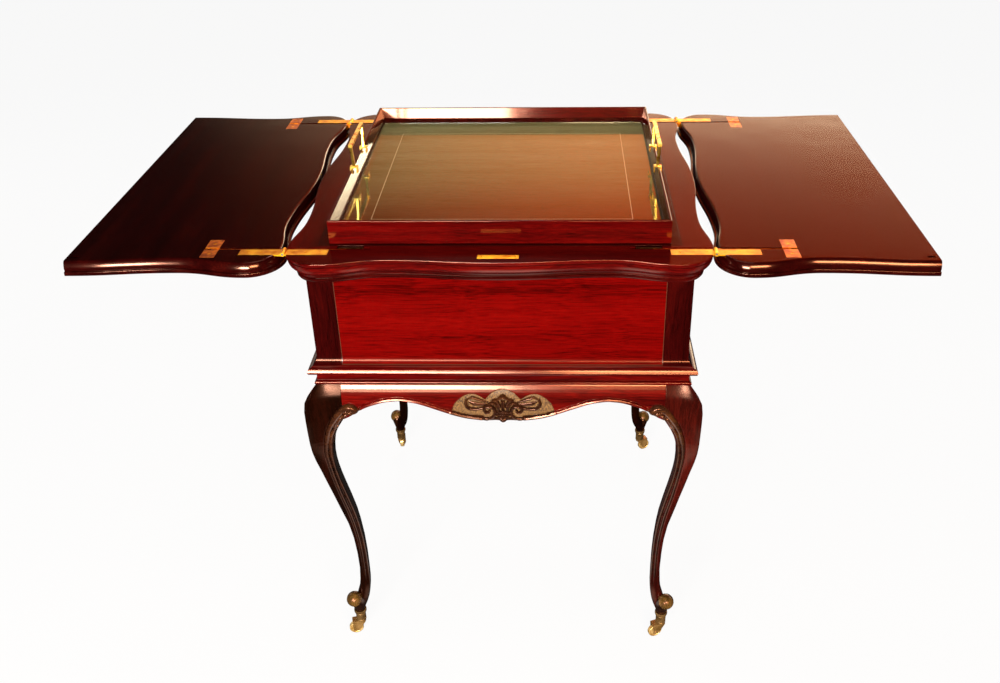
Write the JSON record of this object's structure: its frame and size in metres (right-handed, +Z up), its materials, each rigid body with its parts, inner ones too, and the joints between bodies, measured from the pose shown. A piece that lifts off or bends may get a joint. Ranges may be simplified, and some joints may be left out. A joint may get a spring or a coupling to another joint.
{
  "type": "tray top tea table",
  "caption": "Square mahogany tea table on cabriole legs with castors; two hinged leaves fold over its case and raise a platform with a lift-out glass-bottomed tray.",
  "frame": {"origin": "on the floor, under the middle of the table", "axes": "+X to the right along the opened leaves, +Y to the back, +Z up"},
  "size_m": [1.1794, 0.607, 0.8134],
  "materials": {
    "mahogany": "French-polished mahogany, high gloss",
    "mahogany_veneer": "figured mahogany veneer, French-polished",
    "inner_wood": "oiled softwood and ply inside the case",
    "boxwood_line": "thin pale stringing, polished over",
    "brass": "old polished brass, slightly toned",
    "steel_pin": "plain drawn pin",
    "tray_glass": "clear float glass"
  },
  "bodies": {
    "stand_and_case": {"leg_front_left": "mahogany", "leg_front_right": "mahogany", "leg_back_left": "mahogany", "leg_back_right": "mahogany", "apron_front": "mahogany", "apron_back": "mahogany", "apron_left": "mahogany", "apron_right": "mahogany", "stand_bead": "mahogany", "base_moulding": "mahogany", "case_front": "mahogany_veneer", "case_back": "mahogany_veneer", "case_left": "mahogany_veneer", "case_right": "mahogany_veneer", "case_bottom": "inner_wood", "front_stringing": "boxwood_line", "guide_front": "inner_wood", "guide_back": "inner_wood", "cornice_moulding": "mahogany", "rim_front": "mahogany", "rim_back": "mahogany", "rim_left": "mahogany", "rim_right": "mahogany", "rim_hinge_straps": "brass", "hinge_pins": "steel_pin", "rim_strap_screws": "brass", "lock_plate": "brass", "lock_case": "brass", "castor_cups": "brass"},
    "left_leaf": {"leaf_left": "mahogany", "leaf_left_hinge_straps": "brass", "leaf_left_link_brackets": "brass", "leaf_left_screws": "brass"},
    "right_leaf": {"leaf_right": "mahogany", "leaf_right_hinge_straps": "brass", "leaf_right_link_brackets": "brass", "leaf_right_screws": "brass"},
    "link_bar_front_left": {"link_front_left": "brass"},
    "link_bar_front_right": {"link_front_right": "brass"},
    "link_bar_back_left": {"link_back_left": "brass"},
    "link_bar_back_right": {"link_back_right": "brass"},
    "rising_platform": {"platform": "inner_wood", "platform_lugs": "brass"},
    "lift_out_tray": {"tray_frame": "mahogany", "tray_base": "mahogany_veneer", "tray_glass": "tray_glass", "tray_handle_left": "brass", "tray_handle_right": "brass", "handle_collars_left": "brass", "handle_collars_right": "brass"},
    "lock_bolts": {"lock_bolt": "brass"},
    "castor_fork_front_left": {"castor_horn_front_left": "brass"},
    "wheel_front_left": {"castor_wheel_front_left": "brass"},
    "castor_fork_front_right": {"castor_horn_front_right": "brass"},
    "wheel_front_right": {"castor_wheel_front_right": "brass"},
    "castor_fork_back_left": {"castor_horn_back_left": "brass"},
    "wheel_back_left": {"castor_wheel_back_left": "brass"},
    "castor_fork_back_right": {"castor_horn_back_right": "brass"},
    "wheel_back_right": {"castor_wheel_back_right": "brass"}
  },
  "joints": [
    {"name": "left_leaf_hinge", "type": "hinge", "parent": "stand_and_case", "child": "left_leaf", "pos_m": [-0.295, 0, 0.74], "axis": [0, 1, 0], "range_deg": [0, 180]},
    {"name": "right_leaf_hinge", "type": "hinge", "parent": "stand_and_case", "child": "right_leaf", "pos_m": [0.295, 0, 0.74], "axis": [0, -1, 0], "range_deg": [0, 180]},
    {"name": "platform_lift", "type": "slide", "parent": "stand_and_case", "child": "rising_platform", "axis": [0, 0, 1], "range_m": [-0.17301, 0]},
    {"name": "link_pivot_front_left", "type": "hinge", "parent": "left_leaf", "child": "link_bar_front_left", "pos_m": [-0.397, -0.2543, 0.735], "axis": [0, 1, 0], "range_deg": [-83.81, 0]},
    {"name": "link_pivot_front_right", "type": "hinge", "parent": "right_leaf", "child": "link_bar_front_right", "pos_m": [0.397, -0.2543, 0.735], "axis": [0, -1, 0], "range_deg": [-83.81, 0]},
    {"name": "link_pivot_back_left", "type": "hinge", "parent": "left_leaf", "child": "link_bar_back_left", "pos_m": [-0.397, 0.2543, 0.735], "axis": [0, 1, 0], "range_deg": [-83.81, 0]},
    {"name": "link_pivot_back_right", "type": "hinge", "parent": "right_leaf", "child": "link_bar_back_right", "pos_m": [0.397, 0.2543, 0.735], "axis": [0, -1, 0], "range_deg": [-83.81, 0]},
    {"name": "tray_lift", "type": "slide", "parent": "rising_platform", "child": "lift_out_tray", "axis": [0, 0, 1], "range_m": [0, 0.09]},
    {"name": "lock_bolt_slide", "type": "slide", "parent": "stand_and_case", "child": "lock_bolts", "axis": [0, 0, 1], "range_m": [0, 0.006]},
    {"name": "castor_swivel_front_left", "type": "hinge", "parent": "stand_and_case", "child": "castor_fork_front_left", "pos_m": [-0.2575, -0.2575, 0.027], "axis": [0, 0, 1], "continuous": true},
    {"name": "wheel_spin_front_left", "type": "hinge", "parent": "castor_fork_front_left", "child": "wheel_front_left", "pos_m": [-0.26724, -0.25975, 0.012], "axis": [0.225, -0.9744, 0], "continuous": true},
    {"name": "castor_swivel_front_right", "type": "hinge", "parent": "stand_and_case", "child": "castor_fork_front_right", "pos_m": [0.2575, -0.2575, 0.027], "axis": [0, 0, 1], "continuous": true},
    {"name": "wheel_spin_front_right", "type": "hinge", "parent": "castor_fork_front_right", "child": "wheel_front_right", "pos_m": [0.24816, -0.26108, 0.012], "axis": [0.3584, -0.9336, 0], "continuous": true},
    {"name": "castor_swivel_back_left", "type": "hinge", "parent": "stand_and_case", "child": "castor_fork_back_left", "pos_m": [-0.2575, 0.2575, 0.027], "axis": [0, 0, 1], "continuous": true},
    {"name": "wheel_spin_back_left", "type": "hinge", "parent": "castor_fork_back_left", "child": "wheel_back_left", "pos_m": [-0.2575, 0.2675, 0.012], "axis": [-1, 0, 0], "continuous": true},
    {"name": "castor_swivel_back_right", "type": "hinge", "parent": "stand_and_case", "child": "castor_fork_back_right", "pos_m": [0.2575, 0.2575, 0.027], "axis": [0, 0, 1], "continuous": true},
    {"name": "wheel_spin_back_right", "type": "hinge", "parent": "castor_fork_back_right", "child": "wheel_back_right", "pos_m": [0.26656, 0.26173, 0.012], "axis": [-0.4226, 0.9063, 0], "continuous": true}
  ],
  "couplings": [
    {"joint": "right_leaf_hinge", "follows": "left_leaf_hinge", "ratio": 1},
    {"joint": "platform_lift", "follows": "left_leaf_hinge", "m_per_rad": -0.055039},
    {"joint": "link_pivot_front_left", "follows": "left_leaf_hinge", "ratio": -0.46533},
    {"joint": "link_pivot_front_right", "follows": "left_leaf_hinge", "ratio": -0.46533},
    {"joint": "link_pivot_back_left", "follows": "left_leaf_hinge", "ratio": -0.46533},
    {"joint": "link_pivot_back_right", "follows": "left_leaf_hinge", "ratio": -0.46533}
  ]
}
